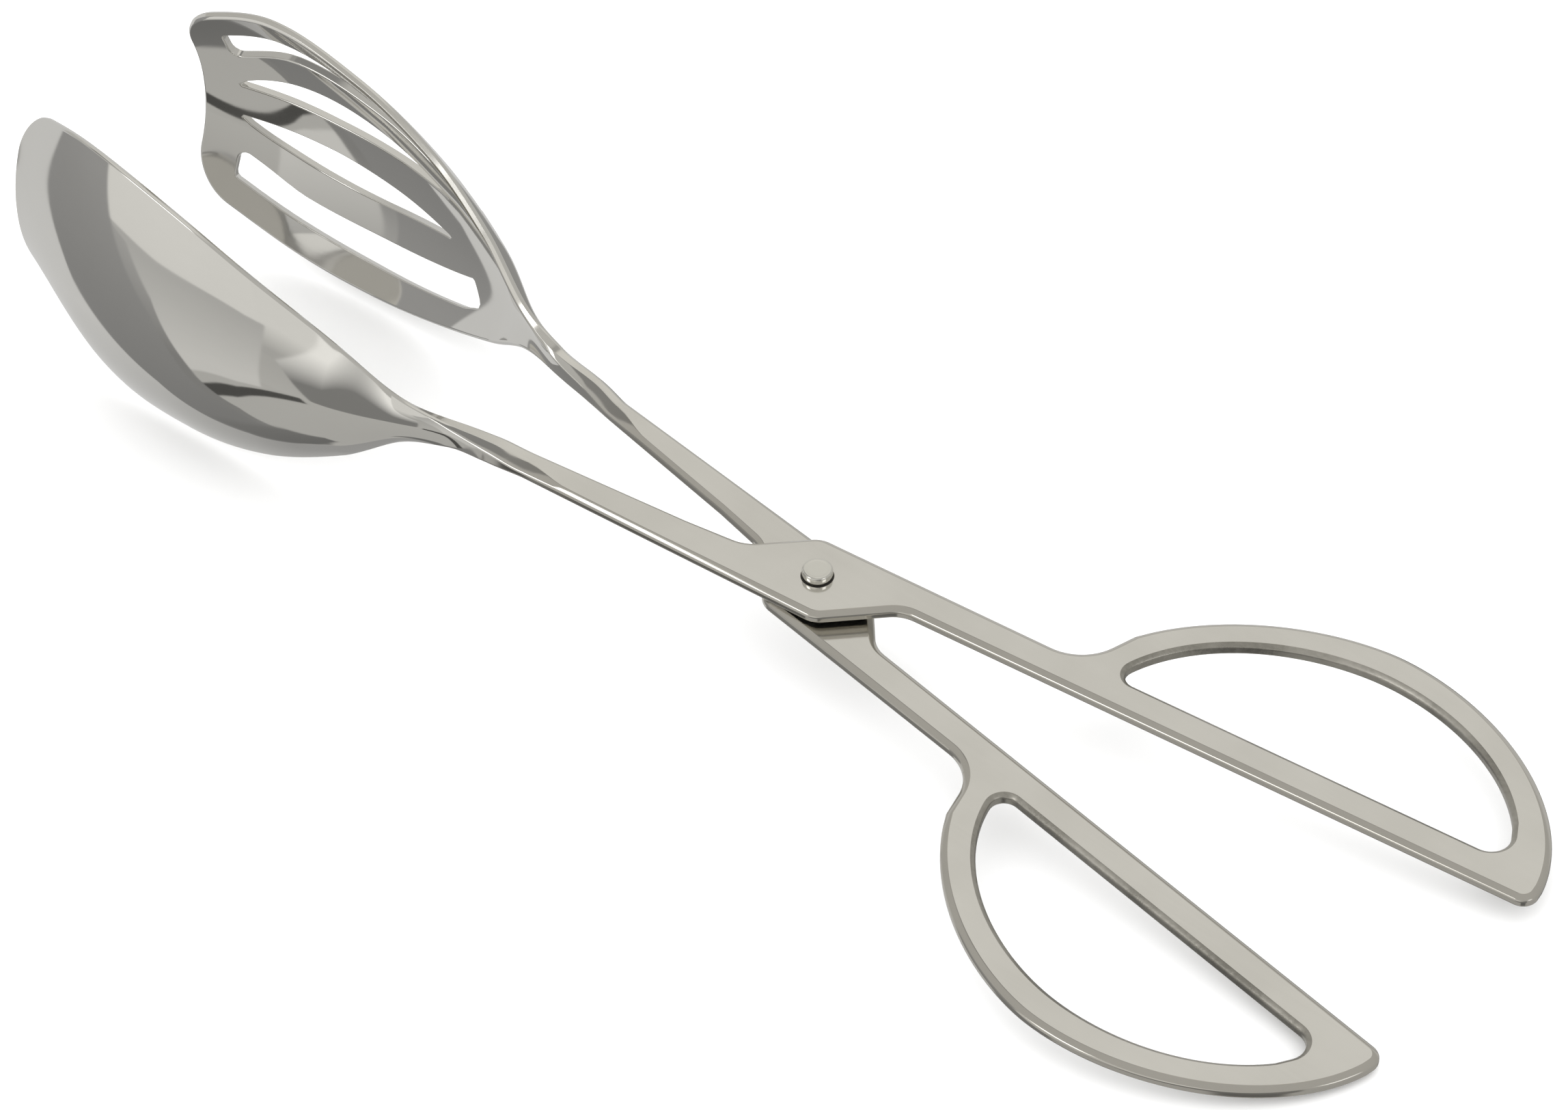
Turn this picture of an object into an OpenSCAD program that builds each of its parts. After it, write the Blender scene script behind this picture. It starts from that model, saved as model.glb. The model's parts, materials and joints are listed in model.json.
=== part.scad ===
// Scissor-action serving tongs: two forged arms crossing at one rivet.
// One arm carries a plain spoon jaw, the other a slotted jaw. Millimetres.
// +X runs from the jaws to the handles, +Z is the pivot axis.

/* [Pose] */
// Angle of each handle bar to the centre plane as stored
rest_half_angle = 7.4; // [3:0.1:12]

/* [Arms] */
// Thickness of the flat part of each arm
plate_t = 2.5; // [2:0.1:3]
// Free gap between the two arms at the pivot
arm_gap = 0.85; // [0.5:0.05:1.2]
// Height of the pivot boss across the arm
boss_w = 16.6; // [15:0.1:18]
// Half length of the flat top of the pivot boss
boss_flat = 4.6; // [4:0.1:5.5]
// Slope of the two slanting ends of the boss
boss_slope = 40; // [36:1:46]
// Corner radius of the boss
boss_r = 4; // [2:0.5:5]
// Width of the bar between the boss and the jaw
jaw_bar_w = 4.7; // [4.4:0.1:6]

/* [Finger loops] */
// Distance from the pivot to the middle of the finger loop
loop_x = 90; // [86:1:95]
// Height of the loop's curve centre above the arm's axis
loop_y = 3.2; // [2.5:0.1:4]
// Half length of the loop, outside
loop_a = 44.1; // [43:0.1:46]
// Rise of the loop, outside
loop_b = 34.8; // [32:0.2:38]
// Width of the band that forms the loop
loop_band = 6.2; // [5.5:0.1:7.5]
// Distance of the straight bar from the arm's axis
bar_y = 1.3; // [1:0.1:2]
// Width of the straight bar
bar_w = 6.45; // [5.5:0.05:7]
// Corner radius at the end of the loop
tip_r = 2.8; // [1.5:0.1:3.5]
// Radius where the neck runs into the loop
loop_fillet = 9; // [5:0.5:9]

/* [Jaws] */
// Distance from the pivot to the jaw tip
jaw_tip = 170.5; // [165:0.5:176]
// Distance from the pivot to the start of the neck
neck_x = 64; // [62:1:67]
// Greatest height of a jaw
jaw_h = 53; // [48:0.5:56]
// Depth of the bowl of a jaw
bowl_depth = 8.1; // [6:0.1:10]
// Metal thickness of a jaw
jaw_t = 1.7; // [1.4:0.1:2.2]
// Corner radius at the tip of a jaw
jaw_r = 7; // [5:0.5:9]
// How far the jaws' middle lies below the gap between the arms
jaw_drop = 0.9; // [0.5:0.1:1.3]
// How far the jaws rise from the neck to the tip
jaw_rise = 2.9; // [0:0.1:3.5]
// How much shorter the slotted jaw is
slotted_short = 1.1; // [0:0.1:2]
// How much less the tip of the slotted jaw turns in
slotted_bend = 1; // [0:0.1:2]

/* [Slots] */
// Distance from the pivot to the slots' ends at the tip
slot_tip = 162.5; // [158:0.5:163]
// Width of the rim outside the outer slots
rim_w = 5.5; // [5:0.1:6.5]
// Width of the two outer slots
slot_w = 5; // [4.4:0.1:5.6]
// Half width of the bar down the middle
mid_bar = 3.5; // [3:0.1:4]
// Greatest width of the two middle slots
lens_w = 6.2; // [5:0.1:6.6]
// Distance from the pivot to the outer slots' inner ends
slot_end = 101; // [99:0.5:106]
// Distance from the pivot to the middle slots' inner ends
lens_end = 113; // [110:0.5:118]

/* [Pivot rivet] */
// Diameter of the rivet shank
shank_d = 3.2; // [3:0.1:4]
// Radial running clearance in the spoon arm
clearance = 0.05; // [0.03:0.01:0.08]
// Diameter of the rivet head
head_d = 5.2; // [4.8:0.1:6]
// Height of the rivet head
head_h = 1.6; // [1:0.1:2]
// Play under the rivet head
head_play = 0.1; // [0.1:0.05:0.4]
// Rounding of the rivet head
head_round = 0.45; // [0.2:0.05:0.6]
// Height of the peened tail
tail_h = 0.6; // [0.5:0.1:0.8]
// Diameter of the collar that keeps the arms apart
collar_d = 7; // [6:0.1:8]

/* [Hidden] */
$fn = 64;
// pivot position in the part's frame, whose origin is the middle of the whole
pivot = [18.5, 0, 2.15];
// undersides of the two arms
z_up = -plate_t;
z_low = -2 * plate_t - arm_gap;
// the jaws of both arms share one middle height
jaw_z = -plate_t - arm_gap / 2 - jaw_drop;
boss_y = boss_w / 2;
hole_y = bar_y + bar_w;
// level at which the neck meets the loop
neck_y = hole_y + 0.2;
// the loop's band is a little wider at its two ends
inner_a = loop_a - loop_band * 1.1;
inner_b = loop_b - loop_band;
// distances from the pivot: end of the flat bar, end of the thick neck
flat_end = 56;
neck_end = 84;
// far edge of the jaw-side bar at its end, its slope, and the bar's taper
bar_far_y = -1.65;
bar_slope = 0.027;
bar_taper = 0.003;
// exponent of the bowl's section
bowl_power = 2.15;
// radial press of the shank in the slotted arm
press = 0.02;

// ---- outlines ----
function unit(v) = v / norm(v);
// arc in place of the corner b of the path a-b-c
function corner(a, b, c, r) =
    let (u = unit(a - b), w = unit(c - b), h = acos(u * w) / 2,
         o = b + unit(u + w) * r / sin(h),
         p = b + u * r / tan(h) - o, q = b + w * r / tan(h) - o,
         a0 = atan2(p.y, p.x),
         da = (atan2(q.y, q.x) - a0 + 540) % 360 - 180,
         n = max(2, ceil(abs(da) / 9)))
    [for (i = [0 : n]) o + r * [cos(a0 + da * i / n), sin(a0 + da * i / n)]];
// closed path of [x, y, radius] points, radius 0 for a plain point
function rounded(v) =
    let (n = len(v), xy = [for (p = v) [p.x, p.y]])
    [for (i = [0 : n - 1])
        each (v[i][2] > 0
            ? corner(xy[(i + n - 1) % n], xy[i], xy[(i + 1) % n], v[i][2])
            : [xy[i]])];
// point of the loop's superellipse, half axes a and b, exponent e
function loop_pt(a, b, e, t) =
    [loop_x + a * sign(cos(t)) * pow(abs(cos(t)), 2 / e),
     loop_y + b * pow(sin(t), 2 / e), 0];

// exponents of the loop's outside and inside
outer_e = 1.82;
inner_e = 1.91;
// where the slanting boss end meets the line y = const
function slant_x(y) = -boss_flat - (boss_y - y) / tan(boss_slope);
// far and near edges of the jaw-side bar at distance s from the pivot
function bar_far(s) = bar_far_y + (flat_end - s) * bar_slope;
function bar_near(s) = bar_far(s) - jaw_bar_w - (flat_end - s) * bar_taper;
// foot of the boss's far slope, and the point where the far edge turns into the bar's
foot = [slant_x(-0.1), -0.1];
bend = [-26, bar_far(26)];

outline = rounded(concat(
    [[-flat_end, bar_near(flat_end), 0],
     [boss_flat, -boss_y, boss_r],
     [-slant_x(-bar_y), bar_y, 5],
     [loop_x + loop_a, bar_y, tip_r]],
    [for (t = [6 : 4 : 150]) loop_pt(loop_a, loop_b, outer_e, t)],
    [loop_pt(loop_a, loop_b, outer_e, 153),
     [loop_x - loop_a * 0.975, neck_y, loop_fillet],
     [-boss_flat, boss_y, boss_r],
     [foot.x, foot.y, 6],
     [bend.x, bend.y, 0],
     [-flat_end, bar_far(flat_end), 0]]));

// the hole's two lower corners lie just inside the ends of its curve
hole_dx = inner_a * 0.985;
hole_line = rounded(concat(
    [[loop_x + hole_dx, hole_y, 3.5]],
    [for (t = [26 : 4 : 162]) loop_pt(inner_a, inner_b, inner_e, t)],
    [[loop_x - hole_dx, hole_y, 2.5]]));

// ---- lofted jaw ----
function slope(k, v, i) =
    let (a = max(i - 1, 0), b = min(i + 1, len(k) - 1))
    (v[b] - v[a]) / (k[b] - k[a]);
// smooth curve through the values v at the stations k
function curve(k, v, s) =
    let (i = max([for (j = [0 : len(k) - 2]) s >= k[j] ? j : 0]),
         h = k[i + 1] - k[i], t = (s - k[i]) / h,
         m0 = slope(k, v, i), m1 = slope(k, v, i + 1))
    (2 * t * t * t - 3 * t * t + 1) * v[i] + (t * t * t - 2 * t * t + t) * h * m0
    + (3 * t * t - 2 * t * t * t) * v[i + 1] + (t * t * t - t * t) * h * m1;
function ease(x) = let (c = min(max(x, 0), 1)) c * c * (3 - 2 * c);

// stations from the neck to the tip, as fractions of the jaw's length
jaw_k = [0, 0.085, 0.18, 0.29, 0.44, 0.615, 0.815, 1];
// half height, sideways offset of the rims and depth of the bowl at each one
half_h = jaw_h / 2 * [0.068, 0.09, 0.185, 0.48, 0.766, 0.96, 1, 0.71];
rim_y = [-4.3, -4.1, -4.8, -6.5, -7.5, -6.1, -2.3, 5.3];
bowl = bowl_depth * [0, 0.04, 0.26, 0.61, 0.83, 1, 0.88, 0.74];

function jq(s) = min(max((s - neck_x) / (jaw_tip - neck_x), 0), 1);
function hh(s) = curve(jaw_k, half_h, jq(s));
function ry(s) = curve(jaw_k, rim_y, jq(s));
function bd(s) = max(curve(jaw_k, bowl, jq(s)), 0);
// half height left after rounding the tip corners
function trim_h(s, tip) =
    let (e = max(s - tip + jaw_r, 0))
    hh(s) - jaw_r + sqrt(max(jaw_r * jaw_r - e * e, 0));
function thick(s) = jaw_t + (jaw_bar_w - jaw_t) * ease((neck_end - s) / (neck_end - flat_end));
function mid_y(s) =
    s > neck_x ? ry(s)
    : ry(neck_x) + ((bar_far(s) + bar_near(s)) / 2 - ry(neck_x)) * ease((neck_x - s) / 8);
// height of the middle: from the plate's, zf, to the jaws' along the neck, then up towards the tip
function mid_z(s, zf) =
    zf + (jaw_z - zf) * ease((s - 60) / 30) + jaw_rise * ease((s - 108) / 66);
// height of the bar where it is still flat
function half_z(s, tip) =
    s > neck_x ? trim_h(s, tip)
    : plate_t / 2 + (half_h[0] - plate_t / 2) * ease((s - flat_end) / (neck_x - flat_end));

// points up one face of a section
nu = 13;
// one closed section: outer face from bottom to top, then inner face back. The tip's last 36 mm
// turn in less by turn_in and lose 1.2 times that in depth
function section(s, zf, shrink, tip, turn_in) =
    let (h = half_z(s, tip) - shrink, H = s > neck_x ? hh(s) : h,
         turn = turn_in * ease((s - 135) / 36), d = bd(s) - 1.2 * turn,
         t = thick(s) / 2 - shrink, y = mid_y(s) - turn,
         z = mid_z(s, zf))
    [for (side = [-1, 1], i = [0 : nu - 1])
        let (w = side * (1 - 2 * i / (nu - 1)) * h, a = abs(w) / H,
             sl = -bowl_power * d * pow(a, bowl_power - 1) * sign(w) / H, n = sqrt(1 + sl * sl))
        [-s, y - d * (1 - pow(a, bowl_power)) + side * t / n, z + w + side * t * sl / n]];

// neck and jaw as one skin; its first stations lie inside the flat bar, 0.12 mm under its faces
module loft(zf, tip, turn_in) {
    stations = concat([flat_end - 6, flat_end - 3, flat_end + 0.01, flat_end + 2, flat_end + 5],
        [for (s = [64 : 3 : 94]) s],
        [for (s = [98 : 4.5 : jaw_tip - 9]) s],
        [for (i = [0 : 6]) tip - jaw_r * (1 - sin(i * 15)) - 0.01 * (6 - i)]);
    m = 2 * nu;
    n = len(stations);
    pts = [for (s = stations) each section(s, zf, s < flat_end ? 0.12 : 0, tip, turn_in)];
    sides = [for (i = [0 : n - 2], j = [0 : m - 1])
        let (a = i * m + j, b = i * m + (j + 1) % m)
        each [[a, b + m, b], [a, a + m, b + m]]];
    caps = [for (j = [0 : nu - 2])
        let (k = m - 1 - j, e = (n - 1) * m)
        each [[j, j + 1, k], [j + 1, k - 1, k],
              [e + j, e + k, e + j + 1], [e + j + 1, e + k, e + k - 1]]];
    polyhedron(points = pts, faces = concat(sides, caps), convexity = 6);
}

// ---- slots, as [x, height above the jaw's middle] ----
// outer slots: the rim narrows and the slot widens towards the neck, and again towards the tip
function slot_out(s) = hh(s) - rim_w * (1 - 0.22 * ease((150 - s) / 50));
function slot_in(s) = slot_out(s) - slot_w
    - 0.5 * ease((150 - s) / 50) - 0.9 * ease((s - 148) / 12);
slot_n = 12;
slot_point = 4.5;
slot_s = [for (i = [0 : slot_n]) slot_tip - i * (slot_tip - slot_end - slot_point) / slot_n];
outer_slot = rounded(concat(
    [[-slot_tip, slot_out(slot_tip), 1.2]],
    [[-slot_tip, slot_in(slot_tip), 1.2]],
    [for (i = [1 : slot_n]) [-slot_s[i], slot_in(slot_s[i]), 0]],
    [[-slot_end, slot_out(slot_end) - 0.6, 0]],
    [for (i = [slot_n : -1 : 1]) [-slot_s[i], slot_out(slot_s[i]), 0]]));
// middle slots: a nearly straight edge along the middle bar, and a bulging one
lens_n = 14;
middle_slot = concat(
    [for (i = [0 : lens_n])
        let (q = i / lens_n, s = slot_tip - q * (slot_tip - lens_end))
        [-s, mid_bar + 0.3 + q + (lens_w - 0.7) * sin(180 * pow(q, 0.75))]],
    [[-lens_end, mid_bar + 1], [-lens_end * 0.6 - slot_tip * 0.4, mid_bar],
     [-slot_tip, mid_bar]]);

// a slot's prism reaches through the jaw along Y
module slot_cut(line, up) {
    translate([0, 20, 0]) rotate([90, 0, 0]) linear_extrude(height = 50)
        polygon([for (p = line) [p.x, mid_z(-p.x, 0) + (up ? 1 : -1) * p.y]]);
}

module slots() {
    for (up = [true, false]) {
        slot_cut(outer_slot, up);
        slot_cut(middle_slot, up);
    }
}

// ---- one arm, pivot at the origin, loop on +Y, jaw on -X ----
module arm(z, bore_r, slotted) {
    difference() {
        union() {
            translate([0, 0, z]) linear_extrude(height = plate_t)
                difference() {
                    polygon(outline);
                    polygon(hole_line);
                }
            loft(z + plate_t / 2, jaw_tip - (slotted ? slotted_short : 0),
                 slotted ? slotted_bend : 0);
        }
        translate([0, 0, z - 1]) cylinder(h = plate_t + 2, r = bore_r);
        if (slotted) slots();
    }
}

module spoon_arm() {
    color([0.76, 0.75, 0.72])
        translate(pivot) rotate([0, 0, rest_half_angle])
            arm(z_up, shank_d / 2 + clearance, false);
}

module slotted_arm() {
    color([0.74, 0.73, 0.70])
        translate(pivot) mirror([0, 1, 0]) rotate([0, 0, rest_half_angle])
            arm(z_low, shank_d / 2 - press, true);
}

module pivot_rivet() {
    r = shank_d / 2;
    head_r = head_d / 2;
    head_top = head_play + head_h;
    // the collar fills the gap between the arms but for a little play
    collar_top = z_up - 0.05;
    tail = z_low - tail_h;
    color([0.80, 0.80, 0.77])
        translate(pivot) rotate_extrude()
            polygon(concat(
                [[0, tail], [head_r - 0.4, tail], [head_r, tail + 0.3], [head_r, z_low], [r, z_low],
                 [r, z_low + plate_t], [collar_d / 2, z_low + plate_t],
                 [collar_d / 2, collar_top], [r, collar_top], [r, head_play], [head_r, head_play]],
                [for (a = [0 : 15 : 90])
                    [head_r, head_top] - head_round * [1 - cos(a), 1 - sin(a)]],
                [[0, head_top]]));
}

spoon_arm();
slotted_arm();
pivot_rivet();
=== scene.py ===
"""Scissor-action serving tongs: the finished surfaces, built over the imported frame.

Shapes are worked out in millimetres in each arm's own frame (pivot at the origin, finger loop on +Y,
jaw on -X) and then placed in the row frame, in metres.
"""

import json
import math

import bpy
import numpy as np
from mathutils import Matrix, Vector
from mathutils.geometry import delaunay_2d_cdt


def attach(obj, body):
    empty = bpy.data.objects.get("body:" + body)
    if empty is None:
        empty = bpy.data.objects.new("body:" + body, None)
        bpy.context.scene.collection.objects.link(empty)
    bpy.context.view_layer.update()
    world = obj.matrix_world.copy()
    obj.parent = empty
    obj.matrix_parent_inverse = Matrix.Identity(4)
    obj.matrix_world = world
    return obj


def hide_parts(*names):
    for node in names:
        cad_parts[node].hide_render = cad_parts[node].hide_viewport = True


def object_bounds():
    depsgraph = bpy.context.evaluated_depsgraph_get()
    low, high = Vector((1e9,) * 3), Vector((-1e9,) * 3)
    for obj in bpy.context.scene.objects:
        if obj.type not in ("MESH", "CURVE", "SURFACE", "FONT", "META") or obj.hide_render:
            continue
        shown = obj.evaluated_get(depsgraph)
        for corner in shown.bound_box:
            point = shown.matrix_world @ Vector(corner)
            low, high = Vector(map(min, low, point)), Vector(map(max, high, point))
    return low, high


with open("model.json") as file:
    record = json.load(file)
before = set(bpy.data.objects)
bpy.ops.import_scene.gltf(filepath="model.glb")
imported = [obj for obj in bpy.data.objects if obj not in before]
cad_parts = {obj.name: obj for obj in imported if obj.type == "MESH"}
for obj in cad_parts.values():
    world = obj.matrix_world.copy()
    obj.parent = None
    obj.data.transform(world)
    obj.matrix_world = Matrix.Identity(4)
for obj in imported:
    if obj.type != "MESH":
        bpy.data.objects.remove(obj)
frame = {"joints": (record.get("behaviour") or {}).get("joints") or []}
cad_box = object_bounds()

MM = 0.001
PIVOT = np.array(frame["joints"][0]["pos_m"]) / MM
REST_ANGLE = math.radians(7.4)

# ---- the arms' dimensions, in mm, as in the CAD ----
PLATE_T = 2.5
ARM_GAP = 0.85
BOSS_W, BOSS_FLAT, BOSS_SLOPE = 16.6, 4.6, math.radians(40)
LOOP_X, LOOP_Y, LOOP_A, LOOP_B, LOOP_BAND = 90, 3.2, 44.1, 34.8, 6.2
LOOP_POWER, HOLE_POWER = 1.82, 1.91    # exponents of the loop's outline and of its hole's
BAR_Y, BAR_W = 1.3, 6.45               # the handle's bar
BAR_FAR, BAR_TURN = -1.65, 0.0267      # the jaw's bar: its far edge at its end, and that edge's slope
BORE_R = 1.65
RECESS_R, RECESS_DEPTH = 2.85, 0.4     # shallow cone round the rivet's head
SHANK_R, TAIL_R, TAIL_H = 1.6, 2.6, 0.6
COLLAR_R, COLLAR_PLAY = 3.5, 0.05
# distances from the pivot
PLATE_END, FLAT_END, NECK_X, NECK_END, SHEET_START, JAW_TIP = 30, 56, 64, 84, 95, 170.5
# where a change starts, and over what length: the step down to the jaw's level, the jaw's rise to its tip,
# and the lesser turn of the slotted jaw's tip
DROP_START, DROP_RUN = 60, 30
RISE_START, RISE_RUN = 108, 66
TURN_START, TURN_RUN = 135, 36
TURN_DEPTH = 1.2                       # how much shallower that tip gets
JAW_R, JAW_T, SLOTTED_SHORT = 7, 1.7, 1.1
JAW_Z = -PLATE_T - ARM_GAP / 2 - 0.9
JAW_RISE = 2.9
# the jaw at stations from NECK_X to JAW_TIP: half height, level of the rim and depth of the bowl
JAW_K = np.array([0, 0.085, 0.18, 0.29, 0.44, 0.615, 0.815, 1])
HALF_H = 26.5 * np.array([0.068, 0.09, 0.185, 0.48, 0.766, 0.96, 1, 0.71])
RIM_Y = np.array([-4.3, -4.1, -4.8, -6.5, -7.5, -6.1, -2.3, 5.3])
BOWL = 8.1 * np.array([0, 0.04, 0.26, 0.61, 0.83, 1, 0.88, 0.74])
BOWL_POWER = 2.15
SLOT_TIP, SLOT_END, LENS_END, MID_BAR = 162.5, 101, 113, 3.5
RIM_W, SLOT_W, LENS_W = 5.5, 5, 5.5

# ---- edges, in mm: a fine crease, a bevel and a rounded corner ----
EDGE_A = 1.2          # width of the handles' edges
BLADE_EDGE = 0.85     # width of the edges between boss and jaw
EDGE_B = 1.0          # their height
RIM_EDGE = 0.5        # width and height of the jaws' rims
NECK_EDGE = 1.5       # how much wider an edge gets where the bar turns into the jaw
SLOT_EDGE = 0.3       # rounding of the slots' edges
HOLE_EDGE = 0.9       # width and height of the edges inside the finger loops
# tilts from the flat face along an edge, in degrees, and the relative radius that leads to each
EDGE_TILTS = np.radians([4, 13, 22, 26, 29.5, 33, 43, 54, 66, 78, 90])
EDGE_RADII = np.array([0.5, 0.5, 5.2, 5.2, 5.2, 0.6, 0.6, 0.6, 0.6, 0.6])


# ---------------------------------------------------------------- curves
def ease(x):
    """Smooth step from 0 at x = 0 to 1 at x = 1."""
    c = np.clip(x, 0, 1)
    return c * c * (3 - 2 * c)


def curve(values, s):
    """Smooth curve through values at the stations JAW_K, s being the distance from the pivot."""
    q = np.clip((s - NECK_X) / (JAW_TIP - NECK_X), 0, 1)
    i = np.clip(np.searchsorted(JAW_K, q, side="right") - 1, 0, len(JAW_K) - 2)
    lo, hi = np.maximum(np.arange(len(JAW_K)) - 1, 0), np.minimum(np.arange(len(JAW_K)) + 1, len(JAW_K) - 1)
    slope = (values[hi] - values[lo]) / (JAW_K[hi] - JAW_K[lo])
    h = JAW_K[i + 1] - JAW_K[i]
    t = (q - JAW_K[i]) / h
    return ((2 * t**3 - 3 * t**2 + 1) * values[i] + (t**3 - 2 * t**2 + t) * h * slope[i]
            + (3 * t**2 - 2 * t**3) * values[i + 1] + (t**3 - t**2) * h * slope[i + 1])


def corner(a, b, c, r, step=9):
    """Arc of radius r in place of the corner b of the path a-b-c."""
    a, b, c = (np.array(p, float) for p in (a, b, c))
    u, w = (a - b) / np.linalg.norm(a - b), (c - b) / np.linalg.norm(c - b)
    half = math.acos(float(u @ w)) / 2
    mid = (u + w) / np.linalg.norm(u + w)
    o = b + mid * r / math.sin(half)
    p, q = b + u * r / math.tan(half) - o, b + w * r / math.tan(half) - o
    start = math.atan2(p[1], p[0])
    turn = (math.atan2(q[1], q[0]) - start + 3 * math.pi) % (2 * math.pi) - math.pi
    n = max(3, math.ceil(abs(math.degrees(turn)) / step))
    return [o + r * np.array([math.cos(start + turn * i / n), math.sin(start + turn * i / n)])
            for i in range(n + 1)]


def rounded(points, closed=True, step=9):
    """Path through [x, y, radius] points, radius 0 for a plain point."""
    n, out = len(points), []
    for i, (x, y, r) in enumerate(points):
        if r > 0 and (closed or 0 < i < n - 1):
            out += corner(points[i - 1][:2], (x, y), points[(i + 1) % n][:2], r, step)
        else:
            out.append(np.array([x, y], float))
    return np.array(out)


# ---------------------------------------------------------------- one arm's shape
class Arm:
    """Surfaces of one arm; slotted says which jaw it has."""

    def __init__(self, name, slotted):
        self.name, self.slotted = name, slotted
        self.tip = JAW_TIP - (SLOTTED_SHORT if slotted else 0)
        self.turn = 1.0 if slotted else 0.0       # how much less the tip turns in
        self.bar_w = 4.3 if slotted else 5.1      # width of the jaw's bar at FLAT_END
        self.plate_z = -PLATE_T / 2 - (PLATE_T + ARM_GAP if slotted else 0)
        self.wide_top = 1 if slotted else -1      # the side whose top edge widens at the neck

    def bar_far(self, s):
        """Edge of the jaw's bar on the loop's side."""
        return BAR_FAR + (FLAT_END - s) * BAR_TURN

    def bar_near(self, s):
        """Its other edge, which widens towards the boss."""
        end, back = BAR_FAR - self.bar_w, FLAT_END - s
        widening = np.maximum(back, 0) / (FLAT_END + BOSS_FLAT) * (end + BOSS_W / 2)
        return end - widening + np.minimum(back, 0) * BAR_TURN

    def half_height(self, s):
        """Half the metal's height: the plate's thickness, then the jaw's height."""
        return np.where(s > NECK_X, curve(HALF_H, s),
                        PLATE_T / 2 + (HALF_H[0] - PLATE_T / 2) * ease((s - FLAT_END) / (NECK_X - FLAT_END)))

    def thick(self, s):
        """The metal across that: the bar's width, then the jaw's thickness."""
        end = self.bar_far(FLAT_END) - self.bar_near(FLAT_END)
        return np.where(s > FLAT_END, JAW_T + (end - JAW_T) * ease((NECK_END - s) / (NECK_END - FLAT_END)),
                        self.bar_far(s) - self.bar_near(s))

    def mid_y(self, s):
        """Middle of the metal at its rims."""
        bar = (self.bar_far(s) + self.bar_near(s)) / 2
        y = np.where(s > NECK_X, curve(RIM_Y, s), RIM_Y[0] + (bar - RIM_Y[0]) * ease((NECK_X - s) / 8))
        return y - self.turn_out(s)

    def turn_out(self, s):
        """How much less the slotted jaw's tip turns in."""
        return self.turn * ease((s - TURN_START) / TURN_RUN)

    def depth(self, s):
        """Depth of the bowl."""
        return np.maximum(np.where(s > NECK_X, curve(BOWL, s), 0), 0) - TURN_DEPTH * self.turn_out(s)

    def mid_z(self, s):
        """Level of the arm's middle."""
        return (self.plate_z + (JAW_Z - self.plate_z) * ease((s - DROP_START) / DROP_RUN)
                + JAW_RISE * ease((s - RISE_START) / RISE_RUN))

    def middle(self, s, w):
        """Middle surface of the metal: s from the pivot, w up from the jaw's middle."""
        d, h = self.depth(s), self.half_height(s)
        return np.stack([-s, self.mid_y(s) - d * (1 - np.abs(w / h) ** BOWL_POWER), self.mid_z(s) + w], -1)

    def frame_at(self, s, w):
        """(point, direction along s, direction along w, unit normal towards the loop's side)."""
        step = 0.02
        p = self.middle(s, w)
        ds = (self.middle(s + step, w) - self.middle(s - step, w)) / (2 * step)
        dw = (self.middle(s, w + step) - self.middle(s, w - step)) / (2 * step)
        n = np.cross(ds, dw)
        n /= np.linalg.norm(n, axis=-1, keepdims=True)
        n *= np.sign(n[..., 1:2])
        return p, ds, dw, n

    def side_face(self, s, w, side):
        """Points and normals of the metal's face on one side, -1 outside or 1 inside the bowl."""
        p, ds, dw, n = self.frame_at(s, w)
        t = self.thick(s)[..., None] / 2
        return p + side * t * n, side * n

    def rim_line(self):
        """(s, w) along the rounding's inner line: bar, lower rim, tip, upper rim and back to the bar."""
        s = np.concatenate([np.linspace(PLATE_END, FLAT_END, 14), np.linspace(FLAT_END, SHEET_START, 53)[1:],
                            np.linspace(SHEET_START, self.tip - JAW_R, 80)[1:]])
        inset = self.edge_b(s)
        # the faces' stretch along w, so that the rounding keeps its size on the slanting rim
        stretch = np.sqrt(1 + (self.depth(s) * BOWL_POWER / self.half_height(s)) ** 2)
        side = np.stack([s, self.half_height(s) - inset / np.where(s > NECK_X, stretch, 1)], 1)
        r = JAW_R - inset[-1]
        angle = np.linspace(0, math.pi / 2, 16)[1:]
        s_arc = self.tip - JAW_R + r * np.sin(angle)
        top = self.half_height(s_arc) - JAW_R + r * np.cos(angle)
        top += (side[-1, 1] - (self.half_height(s[-1]) - JAW_R + r)) * np.cos(angle)
        arc = np.stack([s_arc, top], 1)
        half = np.concatenate([side, arc])
        steps = max(8, int(half[-1, 1] / 0.8))
        edge = [(half[-1, 0], w) for w in np.linspace(half[-1, 1], -half[-1, 1], 2 * steps)[1:-1]]
        down = half * [1, -1]
        return np.concatenate([down, np.array(edge)[::-1], half[::-1]])

    def edge_b(self, s):
        """Height of the edges' rounding at distance s."""
        return EDGE_B + (RIM_EDGE - EDGE_B) * ease((s - FLAT_END - 2) / 20)

    def edge_a(self, s, side, up):
        """Width of one edge: two opposite edges widen where the bar turns into the jaw."""
        plain = BLADE_EDGE + (RIM_EDGE - BLADE_EDGE) * ease((s - FLAT_END - 2) / 20)
        wide = np.where(side * up == self.wide_top, NECK_EDGE, 0) * ease((s - 47) / 9) * ease((78 - s) / 18)
        return np.minimum(plain + wide, 0.95 * self.thick(s) - plain)


# ---------------------------------------------------------------- meshes
# RECESS is the slot of the bore and the cone round the rivet, in near-black steel: painted shade
FLAT, POLISHED, WALL, RECESS = range(4)     # an arm's material slots


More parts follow.
